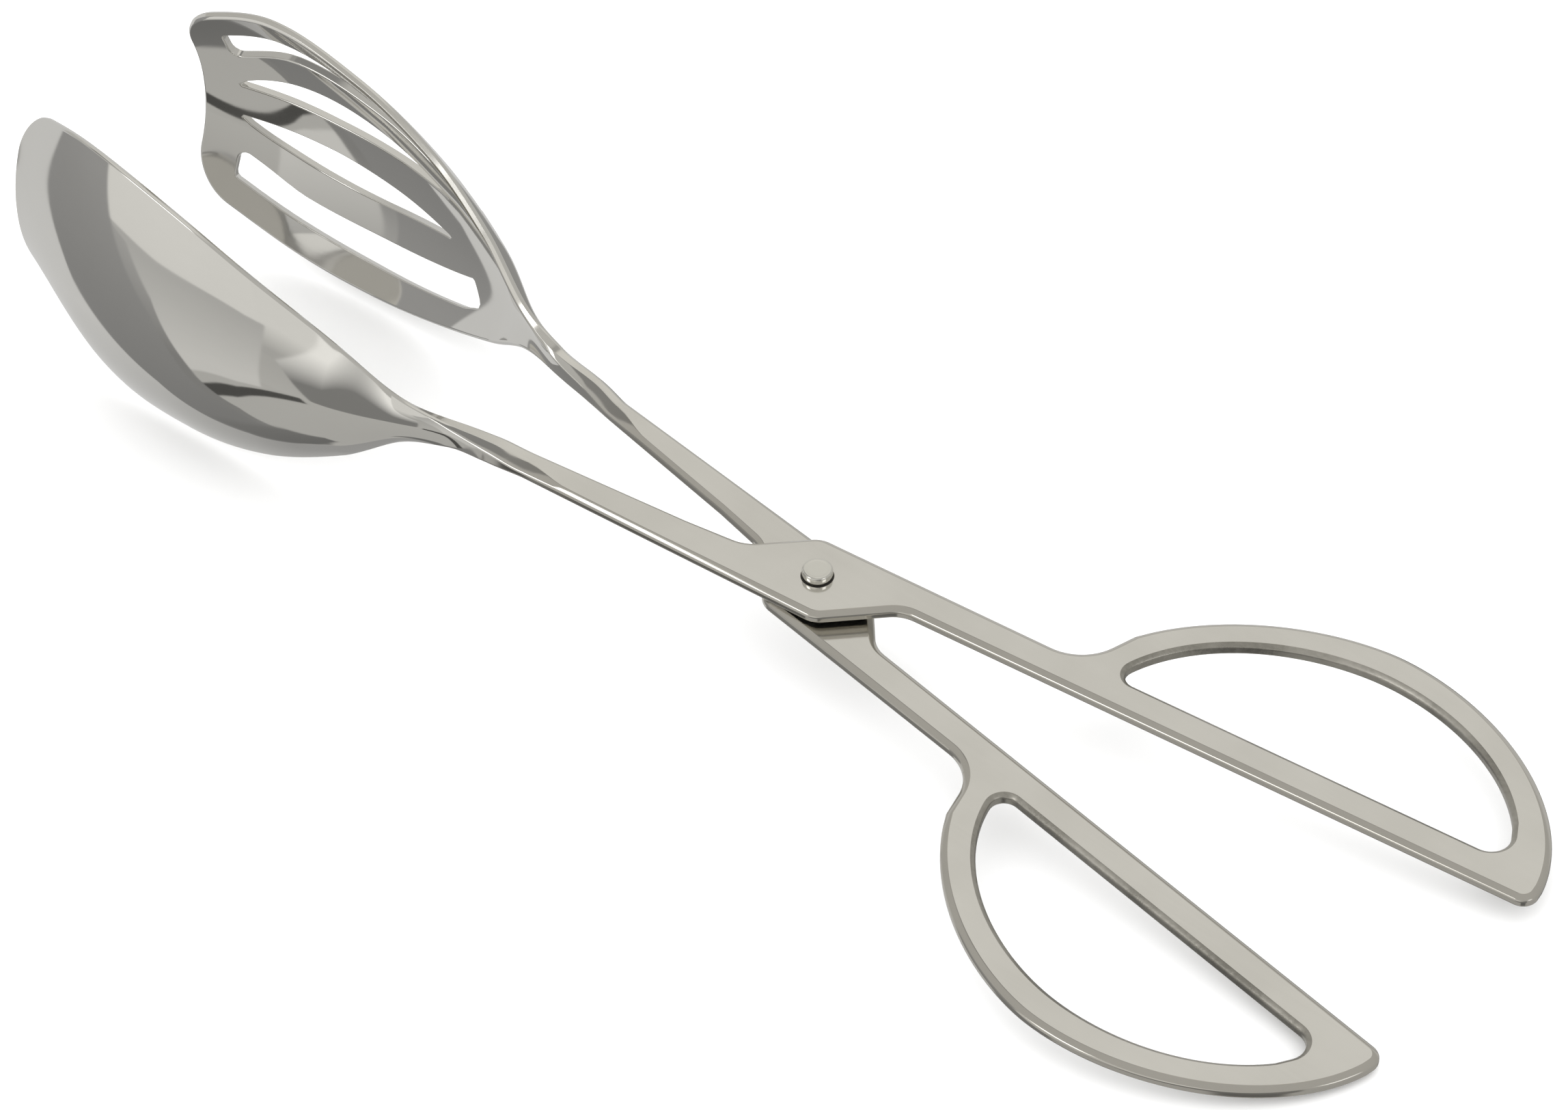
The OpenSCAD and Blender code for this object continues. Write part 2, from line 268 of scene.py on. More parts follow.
class Build:
    """Collects faces with their own corner normals, then welds the points into one mesh."""

    def __init__(self):
        self.points, self.normals, self.faces, self.slots, self.count = [], [], [], [], 0

    def add(self, points, normals, faces, slot):
        points, normals = np.asarray(points, float).reshape(-1, 3), np.asarray(normals, float).reshape(-1, 3)
        self.points.append(points)
        self.normals.append(normals)
        self.faces += [[i + self.count for i in f] for f in faces]
        self.slots += [slot] * len(faces)
        self.count += len(points)

    def grid(self, points, normals, slot, closed=False):
        """Quads over an array of points, rows by columns; closed joins the last row to the first."""
        rows, cols = points.shape[:2]
        pairs = [(i * cols, (i + 1) % rows * cols) for i in range(rows if closed else rows - 1)]
        faces = [(a + j, b + j, b + j + 1, a + j + 1) for a, b in pairs for j in range(cols - 1)]
        self.add(points, normals, faces, slot)

    def finish(self, name, place, materials):
        """The mesh object. place maps points and normals, in mm, to the row frame."""
        pts, nor = np.concatenate(self.points), np.concatenate(self.normals)
        pts, nor = place(pts, nor)
        nor /= np.linalg.norm(nor, axis=1, keepdims=True)
        _, index, back = np.unique(np.round(pts, 3), axis=0, return_index=True, return_inverse=True)
        back = back.reshape(-1)
        faces, corner_normals, slots = [], [], []
        for face, slot in zip(self.faces, self.slots):
            f, n = [], []
            for v in face:
                if back[v] not in f:
                    f.append(int(back[v]))
                    n.append(nor[v])
            if len(f) < 3:
                continue
            out = np.zeros(3)
            ring = [pts[index[k]] for k in f]
            for p, q in zip(ring, ring[1:] + ring[:1]):
                out += np.cross(p, q)
            if out @ sum(n) < 0:
                f.reverse()
                n.reverse()
            faces.append(f)
            corner_normals += n
            slots.append(slot)
        mesh = bpy.data.meshes.new(name)
        mesh.from_pydata((pts[index] * MM).tolist(), [], faces)
        mesh.polygons.foreach_set("material_index", slots)
        mesh.polygons.foreach_set("use_smooth", [True] * len(faces))
        for m in materials:
            mesh.materials.append(m)
        mesh.update()
        mesh.normals_split_custom_set([tuple(n) for n in corner_normals])
        obj = bpy.data.objects.new(name, mesh)
        bpy.context.scene.collection.objects.link(obj)
        return obj


def inside(loops, p):
    """Which of the points p lie inside an odd number of the closed loops."""
    hit = np.zeros(len(p), bool)
    for loop in loops:
        a, b = loop, np.roll(loop, -1, 0)
        for (x0, y0), (x1, y1) in zip(a, b):
            if y0 == y1:
                continue
            cross = (p[:, 1] >= min(y0, y1)) & (p[:, 1] < max(y0, y1))
            hit ^= cross & (p[:, 0] < x0 + (p[:, 1] - y0) / (y1 - y0) * (x1 - x0))
    return hit


def fill(loops, spacing):
    """Triangles over the region between closed loops, with a regular grid of points inside it."""
    lo, hi = loops[0].min(0), loops[0].max(0)
    x, y = np.arange(lo[0], hi[0], spacing), np.arange(lo[1], hi[1], spacing)
    cells = np.stack(np.meshgrid(x, y, indexing="ij"), -1).reshape(-1, 2) + spacing * 0.37
    cells = cells[inside(loops, cells)]
    edge = np.concatenate(loops)
    near = np.array([np.min(np.sum((edge - c) ** 2, 1)) for c in cells]) if len(cells) else np.zeros(0)
    cells = cells[near > (0.6 * spacing) ** 2]
    points = np.concatenate([edge, cells])
    links, start = [], 0
    for loop in loops:
        n = len(loop)
        links += [(start + i, start + (i + 1) % n) for i in range(n)]
        start += n
    out = delaunay_2d_cdt([Vector(p) for p in points], links, [], 0, 1e-6)
    xy = np.array([tuple(v) for v in out[0]])
    tri = np.array(out[2])
    return xy, tri[inside(loops, xy[tri].mean(1))]


def edge_section():
    """An edge's section from the flat face to the side, scaled to one by one: how far across, how far down,
    and the two parts of the normal, to be divided by the edge's width and height."""
    across = np.concatenate([[0], np.cumsum(EDGE_RADII * np.diff(np.sin(EDGE_TILTS)))])
    down = np.concatenate([[0], np.cumsum(-EDGE_RADII * np.diff(np.cos(EDGE_TILTS)))])
    return (across / across[-1], down / down[-1],
            np.sin(EDGE_TILTS) * across[-1], np.cos(EDGE_TILTS) * down[-1])


def rim_ring(arm, s, w, tangent_sw):
    """Cross sections of the rim at points (s, w): points and normals of its outer and of its inner edge, and
    the direction across the rim's flat."""
    p, ds, dw, n = arm.frame_at(s, w)
    run = ds * tangent_sw[:, :1] + dw * tangent_sw[:, 1:]
    up = np.cross(run, n)
    up /= np.linalg.norm(up, axis=1, keepdims=True)
    outward = ds * tangent_sw[:, 1:] - dw * tangent_sw[:, :1]
    up *= np.sign(np.sum(up * outward, 1, keepdims=True))
    t, b = arm.thick(s) / 2, arm.edge_b(s)
    arcs = []
    for side in (-1, 1):
        a = arm.edge_a(s, side, np.sign(w))
        pts, nrm = [], []
        for across, down, lean, rise in zip(*edge_section()):
            x = side * (t - a + a * across)
            pts.append(p + n * x[:, None] + up * (b * (1 - down))[:, None])
            nrm.append(n * (side * lean / a)[:, None] + up * (rise / b)[:, None])
        arcs.append((np.stack(pts, 1), np.stack(nrm, 1)))
    return arcs, up


def add_jaw(build, arm):
    """The bar from PLATE_END on, the neck and the jaw. Returns the sections of its outer and inner edge."""
    line = arm.rim_line()
    tangent = np.gradient(line, axis=0)
    # the rim line's ends meet the plate squarely
    tangent[0], tangent[-1] = (1, 0), (-1, 0)
    tangent /= np.linalg.norm(tangent, axis=1, keepdims=True)
    arcs, up = rim_ring(arm, line[:, 0], line[:, 1], tangent)
    for pts, nrm in arcs:
        build.grid(pts, nrm, POLISHED)
    flat = np.stack([arcs[0][0][:, 0], arcs[1][0][:, 0]], 1)
    build.grid(flat, np.repeat(up[:, None], 2, 1), FLAT)
    # the two big faces: a regular net on the neck, a filled outline on the jaw
    neck = int(np.argmin(np.abs(line[:, 0][: len(line) // 2] - SHEET_START)))
    s, half = line[: neck + 1, 0], -line[: neck + 1, 1]
    across = np.linspace(-1, 1, 31)
    net_s, net_w = np.repeat(s[:, None], len(across), 1), half[:, None] * across[None]
    sheet = [np.concatenate([line[neck: len(line) - neck],
                             np.stack([np.full(29, s[-1]), (half[-1] * across[1:-1])[::-1]], 1)])]
    holes = slot_outlines(arm) if arm.slotted else []
    sheet_sw, triangles = fill(sheet + [h[0] for h in holes], spacing=1.1)
    for side in (-1, 1):
        build.grid(*arm.side_face(net_s, net_w, side), POLISHED)
        pts, nrm = arm.side_face(sheet_sw[:, 0], sheet_sw[:, 1], side)
        build.add(pts, nrm, triangles.tolist(), POLISHED)
    for loop, tangent in holes:
        add_slot_wall(build, arm, loop, tangent)
    return arcs


def add_slot_wall(build, arm, loop, tangent):
    """The wall of one slot with rounded edges; loop runs along the rounding's inner line."""
    p, ds, dw, n = arm.frame_at(loop[:, 0], loop[:, 1])
    run = ds * tangent[:, :1] + dw * tangent[:, 1:]
    into = np.cross(run, n)
    into /= np.linalg.norm(into, axis=1, keepdims=True)
    towards = ds * tangent[:, 1:] - dw * tangent[:, :1]
    into *= np.sign(np.sum(into * towards, 1, keepdims=True))
    t = arm.thick(loop[:, 0])[:, None] / 2
    pts, nrm = [], []
    for side in (-1, 1):
        steps = np.linspace(0, math.pi / 2, 5)
        for q in steps if side < 0 else steps[::-1]:
            pts.append(p + n * side * (t - SLOT_EDGE * (1 - math.cos(q))) + into * SLOT_EDGE * math.sin(q))
            nrm.append(n * side * math.cos(q) + into * math.sin(q))
    build.grid(np.stack(pts, 1), np.stack(nrm, 1), POLISHED, closed=True)


def slot_outlines(arm):
    """Loops (s, w) round the four slots, grown by the rounding of their edges, and their tangents."""
    def outer(s):
        return arm.half_height(s) - RIM_W * (1 - 0.22 * ease((150 - s) / 50))

    def inner(s):
        return outer(s) - SLOT_W - 0.5 * ease((150 - s) / 50) - 0.9 * ease((s - 148) / 12)

    # outer slot: along the rim, its inner end slanting over the last 4.5 mm
    slant = SLOT_END + 4.5
    s = np.linspace(SLOT_TIP, slant, 26)
    wide = np.concatenate([[(SLOT_TIP, outer(SLOT_TIP), 1.3), (SLOT_TIP, inner(SLOT_TIP), 1.3)],
                           [(a, inner(a), 0) for a in s[2:-1]], [(slant, inner(slant), 0.7)],
                           [(SLOT_END, outer(SLOT_END) - 0.6, 0.6)],
                           [(a, outer(a), 0) for a in s[::-1][:-2]]])
    # inner slot: a nearly straight edge along the middle bar, and a bulging one
    q = np.linspace(0, 1, 28)
    lens_s = SLOT_TIP - q * (SLOT_TIP - LENS_END)
    bulge = MID_BAR + 0.3 + q + LENS_W * np.sin(math.pi * q**0.75)
    narrow = np.concatenate([[(SLOT_TIP + 0.3, MID_BAR + 0.1, 0.2)],
                             [(SLOT_TIP - 20, MID_BAR, 30)],
                             [(LENS_END - 0.3, MID_BAR + 1.1, 0.2)],
                             [(a, b, 0) for a, b in zip(lens_s[::-1][1:-1], bulge[::-1][1:-1])]])
    out = []
    for shape in (wide, narrow):
        path = resample(rounded(shape, step=30), spacing=0.7)
        for flip in (1, -1):
            loop = path * [1, flip]
            side = outward_normals(loop, closed=True)
            if not inside([loop], (loop + side * 0.05)[:1])[0]:
                side = -side
            loop = loop - side * SLOT_EDGE
            # tangent turned so that (t_w, -t_s) points into the slot
            out.append((loop, np.stack([-side[:, 1], side[:, 0]], 1)))
    return out


def resample(path, spacing):
    """Closed path with its points spaced evenly, keeping its shape."""
    p = np.concatenate([path, path[:1]])
    d = np.concatenate([[0], np.cumsum(np.linalg.norm(np.diff(p, axis=0), axis=1))])
    n = int(d[-1] / spacing)
    at = np.linspace(0, d[-1], n + 1)[:-1]
    return np.stack([np.interp(at, d, p[:, k]) for k in (0, 1)], 1)


def handle_outline(arm):
    """Outline of the flat part from the cut at PLATE_END, near side, round the loop, to the far side."""
    def loop_pt(a, b, power, deg):
        c, s = math.cos(math.radians(deg)), math.sin(math.radians(deg))
        return LOOP_X + a * math.copysign(abs(c) ** (2 / power), c), LOOP_Y + b * s ** (2 / power), 0

    half = BOSS_W / 2
    slant = -BOSS_FLAT - (half + 0.1) / math.tan(BOSS_SLOPE)
    slant_low = BOSS_FLAT + (half + BAR_Y) / math.tan(BOSS_SLOPE)
    neck_y = BAR_Y + BAR_W + 0.2
    outer = [(-PLATE_END, arm.bar_near(PLATE_END), 0), (BOSS_FLAT, -half, 4.5), (slant_low, BAR_Y, 6),
             (LOOP_X + LOOP_A, BAR_Y, 2.8)]
    outer += [loop_pt(LOOP_A, LOOP_B, LOOP_POWER, t) for t in (*np.arange(5, 151, 2), 153)]
    outer += [(LOOP_X - LOOP_A * 0.975, neck_y, 9), (-BOSS_FLAT, half, 4.5), (slant, -0.1, 7),
              (-26, -0.85, 3), (-PLATE_END, arm.bar_far(PLATE_END), 0)]
    inner_a, inner_b = LOOP_A - LOOP_BAND * 1.1, LOOP_B - LOOP_BAND
    dx, y = inner_a * 0.985, BAR_Y + BAR_W
    hole = [(LOOP_X + dx, y, 3.5)]
    hole += [loop_pt(inner_a, inner_b, HOLE_POWER, t) for t in np.arange(26, 163, 2)]
    hole += [(LOOP_X - dx, y, 2.5)]
    return rounded(outer, closed=False, step=6), rounded(hole, step=8)


def outward_normals(path, closed):
    """2D unit normals on the right of the path's direction."""
    if closed:
        t = np.roll(path, -1, 0) - np.roll(path, 1, 0)
    else:
        t = np.gradient(path, axis=0)
    t /= np.linalg.norm(t, axis=1, keepdims=True)
    return np.stack([t[:, 1], -t[:, 0]], 1)


def plate_band(path, normal, z, a, b):
    """Wall of the flat part along a path: top edge, side, bottom edge."""
    section = list(zip(*edge_section()))
    pts, nrm = [], []
    for up in (1, -1):
        for across, down, lean, rise in section[::up]:
            xy = path + normal * (a * (across - 1))
            height = z + up * (PLATE_T / 2 - b * down)
            pts.append(np.column_stack([xy, np.full(len(xy), height)]))
            nrm.append(np.column_stack([normal * lean / a, np.full(len(xy), up * rise / b)]))
    return np.stack(pts, 1), np.stack(nrm, 1)


def bore(z, mouth):
    """Wall of the rivet's hole with a cone of radius mouth at its top; it turns once round the pivot."""
    turn = np.linspace(0, 2 * math.pi, 64, endpoint=False)
    ring = np.stack([np.cos(turn), np.sin(turn)], 1)
    top, cone = z + PLATE_T / 2, math.atan2(mouth - BORE_R, RECESS_DEPTH)
    slope = (-math.cos(cone), math.sin(cone))
    pts, nrm = [], []
    foot = top - RECESS_DEPTH
    for radius, height, (out, up) in ((mouth, top, slope), (BORE_R, foot, slope), (BORE_R, foot, (-1, 0)),
                                      (BORE_R, top - PLATE_T, (-1, 0))):
        pts.append(np.column_stack([ring * radius, np.full(len(ring), height)]))
        nrm.append(np.column_stack([ring * out, np.full(len(ring), up)]))
    return np.stack(pts, 1), np.stack(nrm, 1)


def add_plate(build, arm, jaw_arcs):
    """The flat part: boss, handle bar and finger loop. jaw_arcs are the sections that add_jaw returned."""
    z = arm.plate_z
    outline, hole = handle_outline(arm)
    normal = outward_normals(outline, closed=False)
    width = EDGE_A + (BLADE_EDGE - EDGE_A) * ease(-outline[:, :1] / PLATE_END)
    pts, nrm = plate_band(outline, normal, z, width, EDGE_B)
    # the first and last sections are the bar's own, so that the two parts meet exactly
    top = len(EDGE_TILTS)
    for row, (arc_pts, arc_nrm) in zip((0, -1), jaw_arcs):
        pts[row, :top], nrm[row, :top] = arc_pts[-1], arc_nrm[-1]
        pts[row, top:], nrm[row, top:] = arc_pts[0][::-1], arc_nrm[0][::-1]
    build.grid(pts, nrm, POLISHED)
    hole_normal = outward_normals(hole, closed=True)
    middle = hole.mean(0)
    if np.sum((hole - middle) * hole_normal) > 0:
        hole_normal = -hole_normal
    hole_pts, hole_nrm = plate_band(hole, hole_normal, z, HOLE_EDGE, HOLE_EDGE)
    build.grid(hole_pts, hole_nrm, WALL, closed=True)
    bore_pts, bore_nrm = bore(z, RECESS_R if z > -PLATE_T else BORE_R + RECESS_DEPTH)
    # the bore and its cone use the RECESS slot, whose near-black colour is painted shade round the rivet's
    # head
    build.grid(bore_pts, bore_nrm, RECESS, closed=True)
    for row, up in ((0, 1), (-1, -1)):
        loops = [pts[:, row, :2], hole_pts[:, row, :2], bore_pts[:, row, :2]]
        xy, tri = fill(loops, spacing=6)
        top = np.column_stack([xy, np.full(len(xy), z + up * PLATE_T / 2)])
        build.add(top, np.tile([0, 0, up], (len(xy), 1)), tri.tolist(), FLAT)


def place_arm(arm):
    """Turns an arm's own points and normals into the row frame, in mm."""
    c, s = math.cos(REST_ANGLE), math.sin(REST_ANGLE)
    turn = np.array([[c, s, 0], [-s, c, 0], [0, 0, 1]])
    flip = np.array([1, -1 if arm.slotted else 1, 1])
    return lambda p, n: (p @ turn * flip + PIVOT, n @ turn * flip)


def make_arm(arm, body, node, materials):
    """One whole arm as a single mesh. materials are in the order of the material slots."""
    build = Build()
    add_plate(build, arm, add_jaw(build, arm))
    obj = build.finish(arm.name, place_arm(arm), materials)
    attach(obj, body)
    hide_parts(node)
    return obj


# ---------------------------------------------------------------- rivet
def make_rivet(material):
    """Head, shank, collar and tail, turned about the pivot axis."""
    low = -2 * PLATE_T - ARM_GAP
    collar_top = -PLATE_T - COLLAR_PLAY
    profile = [(0, low - TAIL_H, 0), (TAIL_R, low - TAIL_H, 0.35), (TAIL_R, low, 0.05), (SHANK_R, low, 0),
               (SHANK_R, low + PLATE_T, 0), (COLLAR_R, low + PLATE_T, 0.05), (COLLAR_R, collar_top, 0.05),
               (SHANK_R, collar_top, 0),
               # the head: slightly barrelled, with a shallow dish in its top
               (SHANK_R, 0.1, 0), (2.56, 0.1, 0.3), (2.66, 0.85, 1.2), (2.56, 1.7, 0.42), (2.0, 1.69, 0.1),
               (1.8, 1.66, 0.4), (0, 1.66, 0)]
    path = rounded(profile, closed=False, step=12)
    around = 96
    turn = np.linspace(0, 2 * math.pi, around, endpoint=False)
    rows = [np.column_stack([r * np.cos(turn), r * np.sin(turn), np.full(around, z)]) for r, z in path[1:-1]]
    points = np.concatenate([[(0, 0, path[0][1])], *rows, [(0, 0, path[-1][1])]]) + PIVOT
    last = len(points) - 1
    faces = []
    for j in range(around):
        k = (j + 1) % around
        faces.append((0, 1 + k, 1 + j))
        for i in range(len(rows) - 1):
            a, b = 1 + i * around, 1 + (i + 1) * around
            faces.append((a + j, a + k, b + k, b + j))
        top = 1 + (len(rows) - 1) * around
        faces.append((top + j, top + k, last))
    mesh = bpy.data.meshes.new("rivet")
    mesh.from_pydata((points * MM).tolist(), [], faces)
    mesh.polygons.foreach_set("use_smooth", [True] * len(faces))
    mesh.set_sharp_from_angle(angle=math.radians(35))
    mesh.materials.append(material)
    obj = bpy.data.objects.new("rivet", mesh)
    bpy.context.scene.collection.objects.link(obj)
    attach(obj, "slotted_half")
    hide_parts("pivot_rivet")
    return obj


# ---------------------------------------------------------------- materials
class Nodes:
    """Short-hand for building a node tree."""

    def __init__(self, tree):
        self.tree = tree

    def add(self, kind, inputs=None, **settings):
        node = self.tree.nodes.new(kind)
        for k, v in settings.items():
            setattr(node, k, v)
        for k, v in (inputs or {}).items():
            if isinstance(v, bpy.types.NodeSocket):
                self.tree.links.new(v, node.inputs[k])
            else:
                node.inputs[k].default_value = v
        return node

    def math(self, operation, *values):
        return self.add("ShaderNodeMath", dict(enumerate(values)), operation=operation).outputs[0]

    def range(self, value, lo, hi, out_lo=0.0, out_hi=1.0, kind="SMOOTHSTEP"):
        """value mapped from lo..hi to out_lo..out_hi."""
        node = self.add("ShaderNodeMapRange", {0: value, 1: lo, 2: hi, 3: out_lo, 4: out_hi},
                        interpolation_type=kind)
        return node.outputs[0]

    def band(self, value, limits, soft):
        """1 between the two limits and 0 outside, with edges softened over soft."""
        lo, hi = limits
        rise = self.range(value, lo - soft / 2, lo + soft / 2)
        return self.math("MULTIPLY", rise, self.range(value, hi - soft / 2, hi + soft / 2, 1.0, 0.0))

    def mix(self, factor, a, b, blend="MIX"):
        node = self.add("ShaderNodeMix", {0: factor, 6: a, 7: b}, data_type="RGBA", blend_type=blend)
        return node.outputs[2]


def steel(name, colour, dark, rough, grain, bump, turn=0.0, ripple=0.0, handle=None):
    """Stainless steel between two tones and two roughnesses. grain is (length, width) of its streaks, bump
    their depth, turn their direction about Z and ripple the depth of the polisher's waves, lengths in mm.
    handle is (colour, extra roughness) that the surface takes on the handle's side of the neck."""
    material = bpy.data.materials.new(name)
    material.use_nodes = True
    n = Nodes(material.node_tree)
    shader = material.node_tree.nodes["Principled BSDF"]
    where = n.add("ShaderNodeTexCoord").outputs["Object"]
    along, across = 1 / (grain[0] * MM), 1 / (grain[1] * MM)
    streak = n.add("ShaderNodeMapping", {"Vector": where, "Rotation": (0, 0, turn),
                                         "Scale": (along, across, across)}).outputs[0]
    fine = n.add("ShaderNodeTexNoise", {"Vector": streak, "Scale": 1.0, "Detail": 5.0}).outputs["Fac"]
    cloud = n.add("ShaderNodeTexNoise", {"Vector": where, "Scale": 60.0, "Detail": 3.0}).outputs["Fac"]
    blotch = n.range(cloud, 0.3, 0.7)
    tone = n.math("MULTIPLY_ADD", fine, 0.5, n.math("MULTIPLY", blotch, 0.5))
    shade = n.mix(tone, (*dark, 1), (*colour, 1))
    blur = n.range(tone, 0.2, 0.8, rough[0], rough[1], "LINEAR")
    # painted shade: on the handle's side of the neck the steel is multiplied by a darker, warmer colour,
    # standing for the dark surroundings that the bars' edges mirror; the extra roughness is the surface's
    # own
    if handle:
        x = n.add("ShaderNodeSeparateXYZ", {0: where}).outputs[0]
        far = n.range(x, *((PIVOT[0] - np.array([72, 44])) * MM).tolist())
        shade = n.mix(far, shade, n.mix(1.0, shade, (*handle[0], 1), "MULTIPLY"))
        blur = n.math("MULTIPLY_ADD", far, handle[1], blur)
    material.node_tree.links.new(shade, shader.inputs["Base Color"])
    material.node_tree.links.new(blur, shader.inputs["Roughness"])
    shader.inputs["Metallic"].default_value = 1.0
    surface = n.add("ShaderNodeBump", {"Height": fine, "Strength": 1.0, "Distance": bump * MM}).outputs[0]
    if ripple:
        waves = n.add("ShaderNodeTexNoise", {"Vector": where, "Scale": 90.0, "Detail": 1.0}).outputs["Fac"]
        surface = n.add("ShaderNodeBump", {"Height": waves, "Strength": 1.0, "Distance": ripple * MM,
                                           "Normal": surface}).outputs[0]
    material.node_tree.links.new(surface, shader.inputs["Normal"])
    return material


# ---------------------------------------------------------------- studio
def grey(v, warm=0.0):
    """Linear colour from a display value 0-255, warm lowers blue."""
    x = (v / 255) ** 2.2
    return (x, x * (1 - 0.25 * warm), x * (1 - warm), 1)


def card(side, rise, low, high, lean=0.0, tilt=0.0, slope=None, soft=1.0, warm=0.04):
    """A card around the object, in degrees of azimuth (from -Y towards +X) and elevation. side and rise are
    its limits. lean is how far its sides move per degree of elevation, and tilt how far its lower and upper
    edges rise per degree of azimuth. It is shaded between low and high, each (height, brightness as
    displayed), and slope is the tilt of that shading. soft is the width of its soft edges."""
    return side, rise, low, high, lean, tilt, tilt if slope is None else slope, soft, warm


# each card is painted over the ones before it
CARDS = [
    # low surroundings
    card((-200, 200), (-100, 12), (-90, 178), (0, 186), soft=14, warm=0.05),
    # pale wall by the jaws, and the part of it past the azimuth where the angles start again
    card((-200, -70), (-100, 14), (-72, 158), (-45, 208), soft=5, warm=0.02),
    card((160, 200), (-100, 14), (-72, 158), (-45, 208), soft=5, warm=0.02),
    # shade behind the jaws, in the same two parts
    card((-200, -154), (-60, -9), (-60, 150), (-9, 150), soft=6),
    card((160, 200), (-60, -9), (-60, 150), (-9, 150), soft=6),
    # light on the arms' flat faces, and a darker seam beside it
    card((-168, -118), (18, 80), (30, 206), (60, 222), soft=12, warm=0.07),
    card((-118, -86), (44, 78), (44, 140), (78, 140), soft=8),
    # side wall, lit from above
    card((0.2, 64), (-29, 26), (-17, 130), (3, 250), slope=0.7),
    # camera stand
    card((30, 62), (-60, -25), (-60, 112), (-25, 112), soft=8),
    # wall behind the dark stand, and the part below it
    card((-60, 5.2), (-8, 33), (-3, 176), (9, 222), lean=0.7, slope=0.41, warm=0.05),
    card((-14, 0.2), (-30, -8), (-30, 186), (-8, 178), warm=0.05),
    # two panels leaning on it, and the gap under them
    card((-46, -0.3), (7.6, 33), (7.6, 222), (33, 226), tilt=0.41, warm=0.05),
    card((-46, -1), (-28.6, 7.6), (-24, 208), (6, 182), lean=0.35, tilt=0.41),
    card((-36, -2), (-32.2, -28.6), (-32, 82), (-28, 82), tilt=0.51, soft=0.8, warm=0.06),
    # dark stand with its side and its foot
    card((-42, -34.5), (-75, -9), (-40, 134), (-9, 170), lean=-0.02, soft=1.2, warm=0.03),
    card((-71, -38.3), (-73, 24), (-60, 130), (0, 156), soft=1.5, warm=0.02),
    card((-68, -30), (-76, -62), (-76, 110), (-62, 122), soft=4, warm=0.03),
    # strip light, and a small light beside it
    card((-35, -13), (32, 47), (32, 420), (47, 420), soft=4, warm=0.0),
    card((76, 100), (24, 44), (24, 300), (44, 300), soft=6, warm=0.0),
]


def studio_world():
    """Light tent: pale all round, with cards and a strip light that the polished steel mirrors."""
    world = bpy.data.worlds.new("studio")
    bpy.context.scene.world = world
    world.use_nodes = True
    tree = world.node_tree
    tree.nodes.clear()
    n = Nodes(tree)
    direction = n.add("ShaderNodeSeparateXYZ", {0: n.add("ShaderNodeTexCoord").outputs["Generated"]}).outputs
    x, y, z = direction
    azimuth = n.math("DEGREES", n.math("ARCTAN2", x, n.math("MULTIPLY", y, -1.0)))
    elevation = n.math("DEGREES", n.math("ARCSINE", z))
    colour = n.mix(n.range(elevation, 5, 60), grey(186, 0.06), grey(190, 0.06))
    for side, rise, (low, low_shade), (high, high_shade), lean, tilt, slope, soft, warm in CARDS:
        across = n.band(n.math("MULTIPLY_ADD", elevation, -lean, azimuth), side, soft)
        upright = n.band(n.math("MULTIPLY_ADD", azimuth, -tilt, elevation), rise, soft)
        height = n.range(n.math("MULTIPLY_ADD", azimuth, -slope, elevation), low, high, kind="LINEAR")
        shade = n.mix(height, grey(low_shade, warm), grey(high_shade, warm))
        colour = n.mix(n.math("MULTIPLY", across, upright), colour, shade)
    path = n.add("ShaderNodeLightPath").outputs
    plain = n.add("ShaderNodeBackground", {"Color": (1, 1, 1, 1), "Strength": 1.6}).outputs[0]
    studio = n.add("ShaderNodeBackground", {"Color": colour, "Strength": 1.0}).outputs[0]
    mixed = n.add("ShaderNodeMixShader", {0: path["Is Glossy Ray"], 1: plain, 2: studio}).outputs[0]
    n.add("ShaderNodeOutputWorld", {0: mixed})


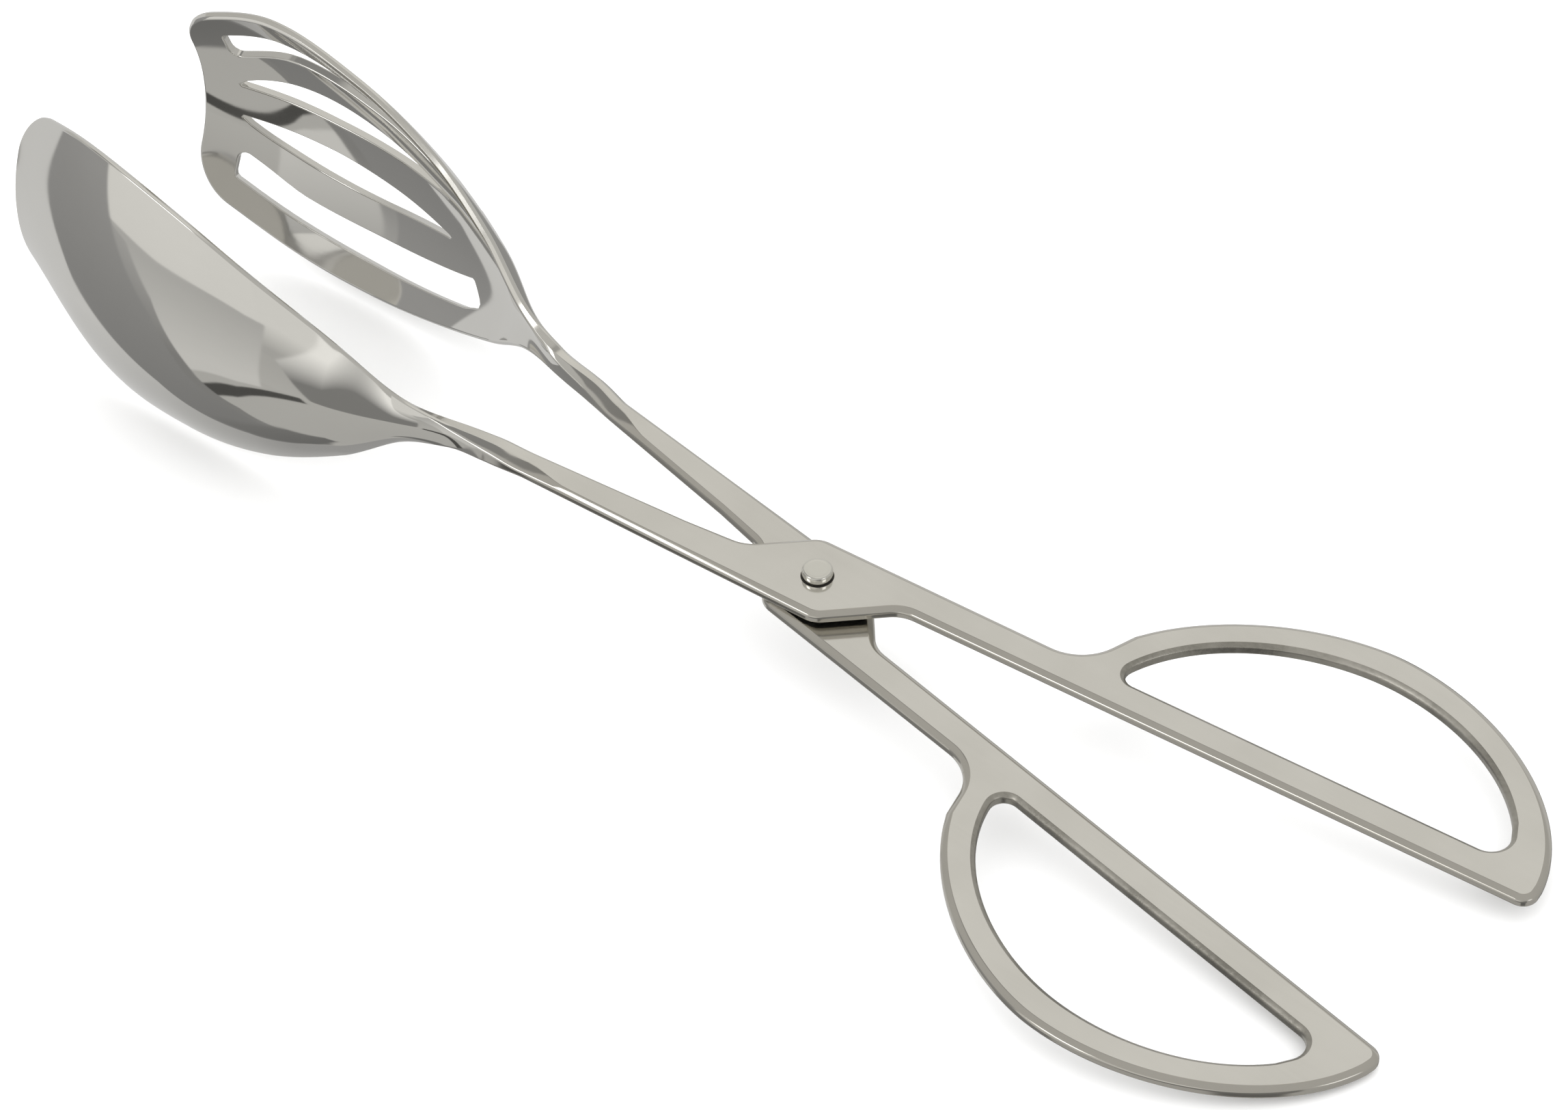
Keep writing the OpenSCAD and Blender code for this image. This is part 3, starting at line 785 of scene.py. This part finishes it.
def studio_floor():
    """Pale table that the jaws' rims and the lower finger loop rest on."""
    lo = cad_box[0]
    loop_z = -3.7 * MM      # underside of the lower finger loop, 250 mm behind the jaws' rims
    slope = math.atan2(loop_z - lo.z, 250 * MM)
    bpy.ops.mesh.primitive_plane_add(size=6)
    floor = bpy.context.object
    floor.name = "floor"
    floor.rotation_euler = (0, -slope, 0)
    floor.location = (-0.095, 0, lo.z)
    material = bpy.data.materials.new("floor")
    material.use_nodes = True
    n = Nodes(material.node_tree)
    shader = material.node_tree.nodes["Principled BSDF"]
    grain = n.add("ShaderNodeTexNoise", {"Scale": 40.0, "Detail": 3.0}).outputs["Fac"]
    material.node_tree.links.new(n.mix(grain, (0.93, 0.93, 0.93, 1), (0.95, 0.95, 0.945, 1)),
                                 shader.inputs["Base Color"])
    shader.inputs["Roughness"].default_value = 0.9
    shader.inputs["Specular IOR Level"].default_value = 0.0
    floor.data.materials.append(material)
    floor.visible_glossy = False


def studio_camera():
    """Long lens, 45 degrees above the arms' plane, from the finger loops' side."""
    data = bpy.data.cameras.new("camera")
    camera = bpy.data.objects.new("camera", data)
    bpy.context.scene.collection.objects.link(camera)
    data.sensor_width = 36
    data.lens = 130.26
    data.clip_start, data.clip_end = 0.05, 20
    right = Vector((0.75333, 0.65765, 0))
    forward = Vector((-0.46636, 0.53422, -0.70506))
    from_pivot = Vector((0.4359, -0.5078, 0.6702))
    turn = Matrix((right, right.cross(forward), -forward)).transposed()
    camera.matrix_world = Matrix.Translation(Vector(PIVOT * MM) + from_pivot) @ turn.to_4x4()
    bpy.context.scene.camera = camera


# ---------------------------------------------------------------- the scene
studio_camera()
studio_world()
studio_floor()
for arm, body, node in ((Arm("arm_spoon", False), "spoon_half", "spoon_arm"),
                        (Arm("arm_slotted", True), "slotted_half", "slotted_arm")):
    lean = -REST_ANGLE if node == "spoon_arm" else REST_ANGLE
    flat = steel(arm.name + "_satin", (0.80, 0.785, 0.745), (0.74, 0.725, 0.685), rough=(0.09, 0.15),
                 grain=(40, 0.5), bump=0.0015, turn=lean, ripple=0.03)
    # polished faces and edges; their darker, warmer tone on the handle's side of the neck is painted shade
    polished = steel(arm.name + "_polished", (0.80, 0.79, 0.76), (0.77, 0.76, 0.73), rough=(0.03, 0.06),
                     grain=(12, 1.2), bump=0.0004, turn=lean, ripple=0.002,
                     handle=((0.79, 0.775, 0.74), 0.08))
    wall = steel(arm.name + "_wall", (0.56, 0.54, 0.49), (0.26, 0.25, 0.22), rough=(0.20, 0.38),
                 grain=(1.0, 0.7), bump=0.03)
    # painted shade: near-black steel for the bore and the cone round the rivet, standing in for the shadowed
    # gap under the rivet's head
    recess_painted_shade = steel(arm.name + "_recess", (0.20, 0.19, 0.17), (0.05, 0.048, 0.043), rough=(0.4, 0.6),
                   grain=(0.8, 0.8), bump=0.01)
    make_arm(arm, body, node, [flat, polished, wall, recess_painted_shade])
make_rivet(steel("rivet_turned", (0.80, 0.79, 0.74), (0.74, 0.73, 0.685), rough=(0.06, 0.12),
                 grain=(0.6, 0.6), bump=0.001))

bpy.context.scene.view_settings.view_transform = "Standard"
